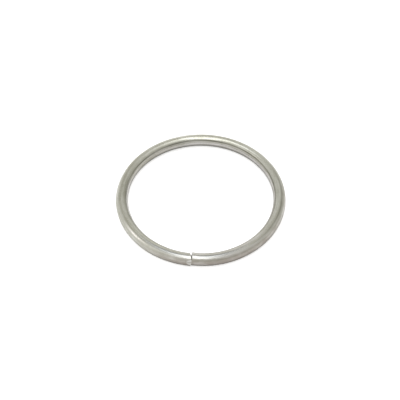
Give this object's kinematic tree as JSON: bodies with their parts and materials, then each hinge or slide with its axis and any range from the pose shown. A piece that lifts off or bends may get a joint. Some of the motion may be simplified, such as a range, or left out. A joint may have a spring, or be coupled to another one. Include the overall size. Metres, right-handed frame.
{
  "type": "retaining ring",
  "caption": "Round-wire retaining ring with a closed, sheared split, which springs into a groove round a shaft.",
  "frame": {"origin": "centre of the ring, on its axis and at half the height of its wire", "axes": "+Z along the ring's axis, upwards as it lies flat; the split faces -Y, with the plain end at -X and the tucked end at +X"},
  "size_m": [0.035, 0.035, 0.0024],
  "materials": {
    "spring_steel": "dull drawn wire, grey with a faint olive tint"
  },
  "bodies": {
    "root": {"retaining_ring": "spring_steel"}
  },
  "joints": []
}
